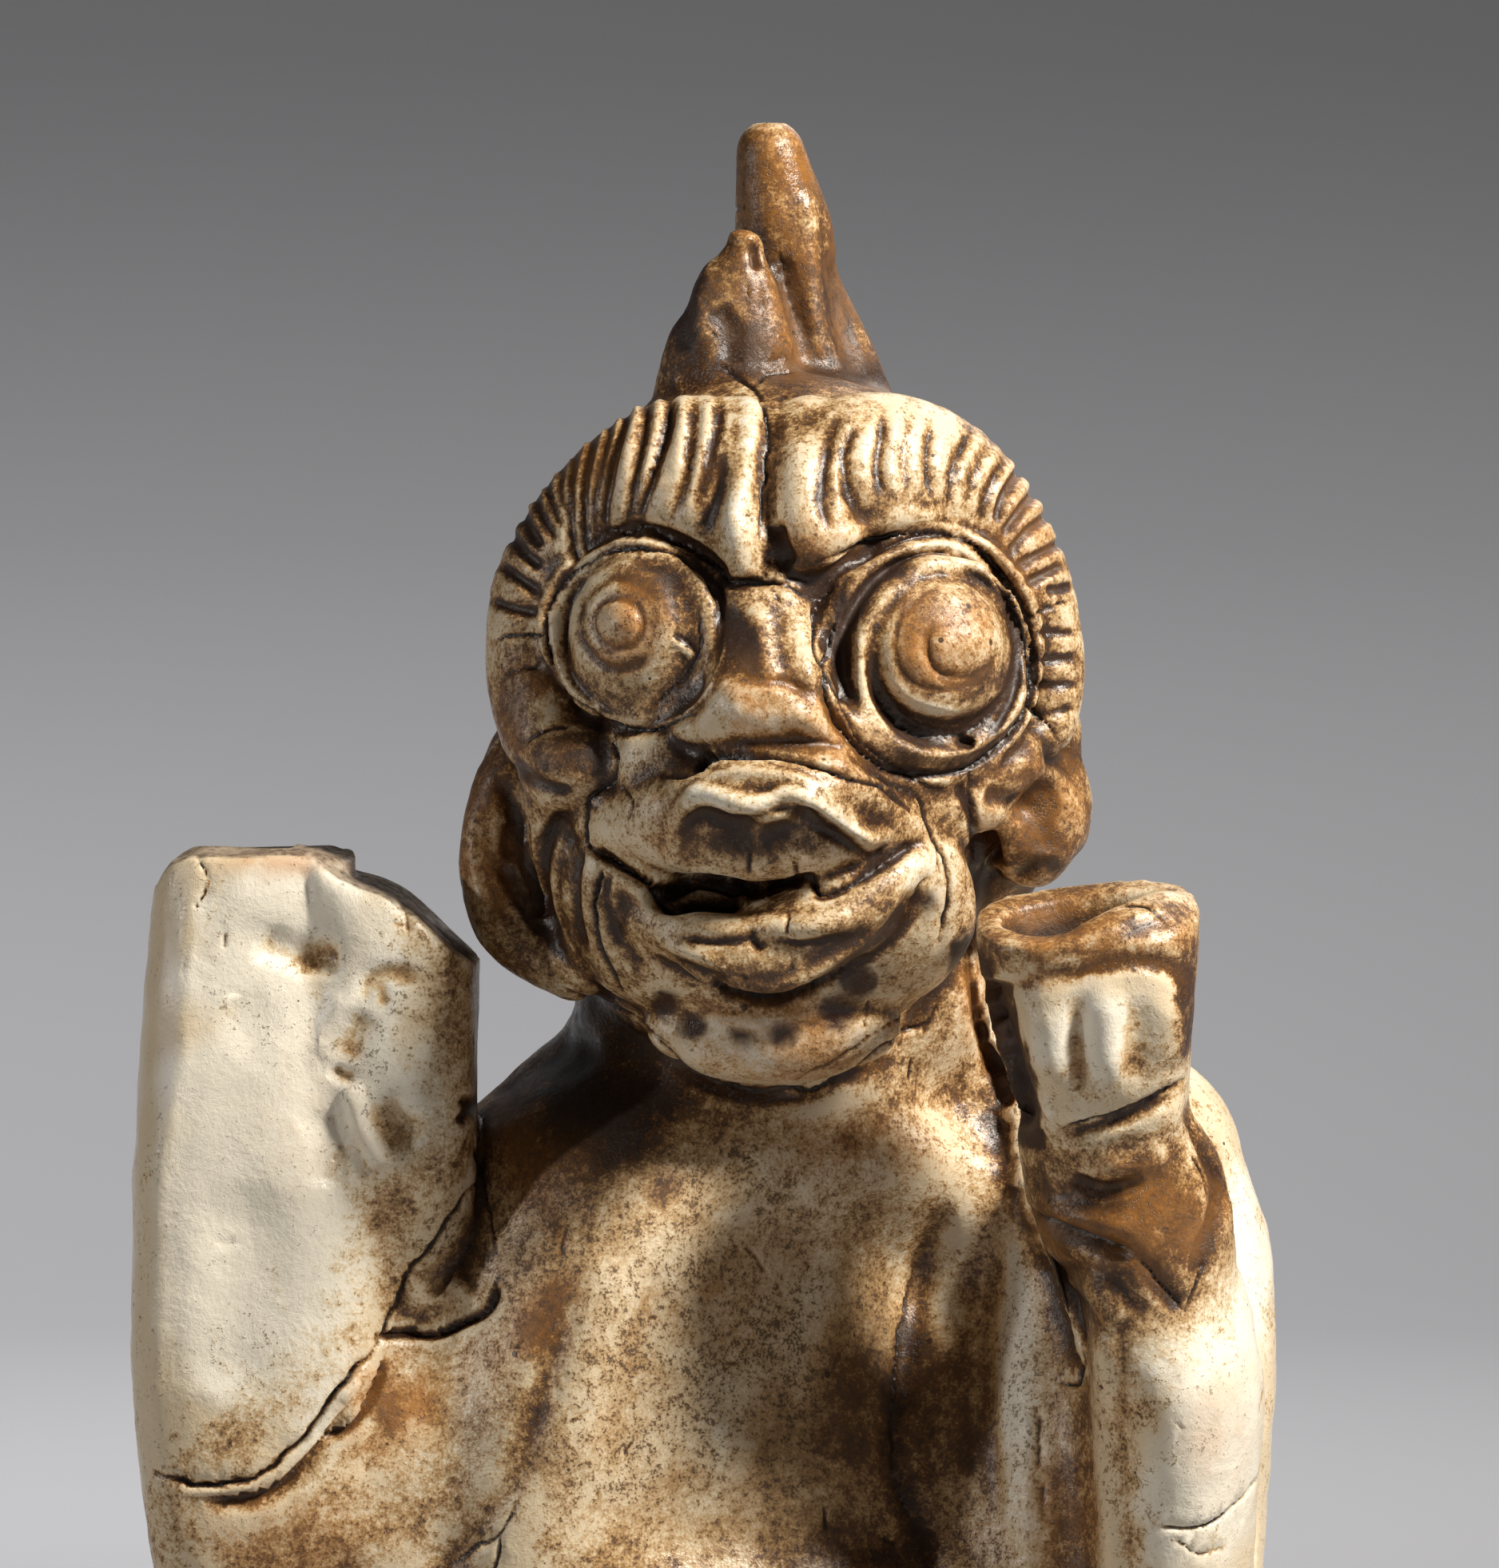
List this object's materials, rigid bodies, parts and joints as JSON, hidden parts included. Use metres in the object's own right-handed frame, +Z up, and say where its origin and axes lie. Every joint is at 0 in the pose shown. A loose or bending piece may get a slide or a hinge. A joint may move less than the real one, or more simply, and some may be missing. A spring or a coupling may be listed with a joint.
{
  "type": "ceramic figurine",
  "caption": "Horned demon figurine kneeling on a low oval base, one arm broken off flat, the other raised in a fist with a hollow in its top.",
  "frame": {"origin": "middle of the flat underside of the base", "axes": "+Z up the figure's height, -Y the way the face looks, +X to the side of the raised fist"},
  "size_m": [0.1625, 0.1322, 0.3294],
  "materials": {
    "glaze": "gloss"
  },
  "bodies": {
    "root": {"figurine": "glaze"}
  },
  "joints": []
}
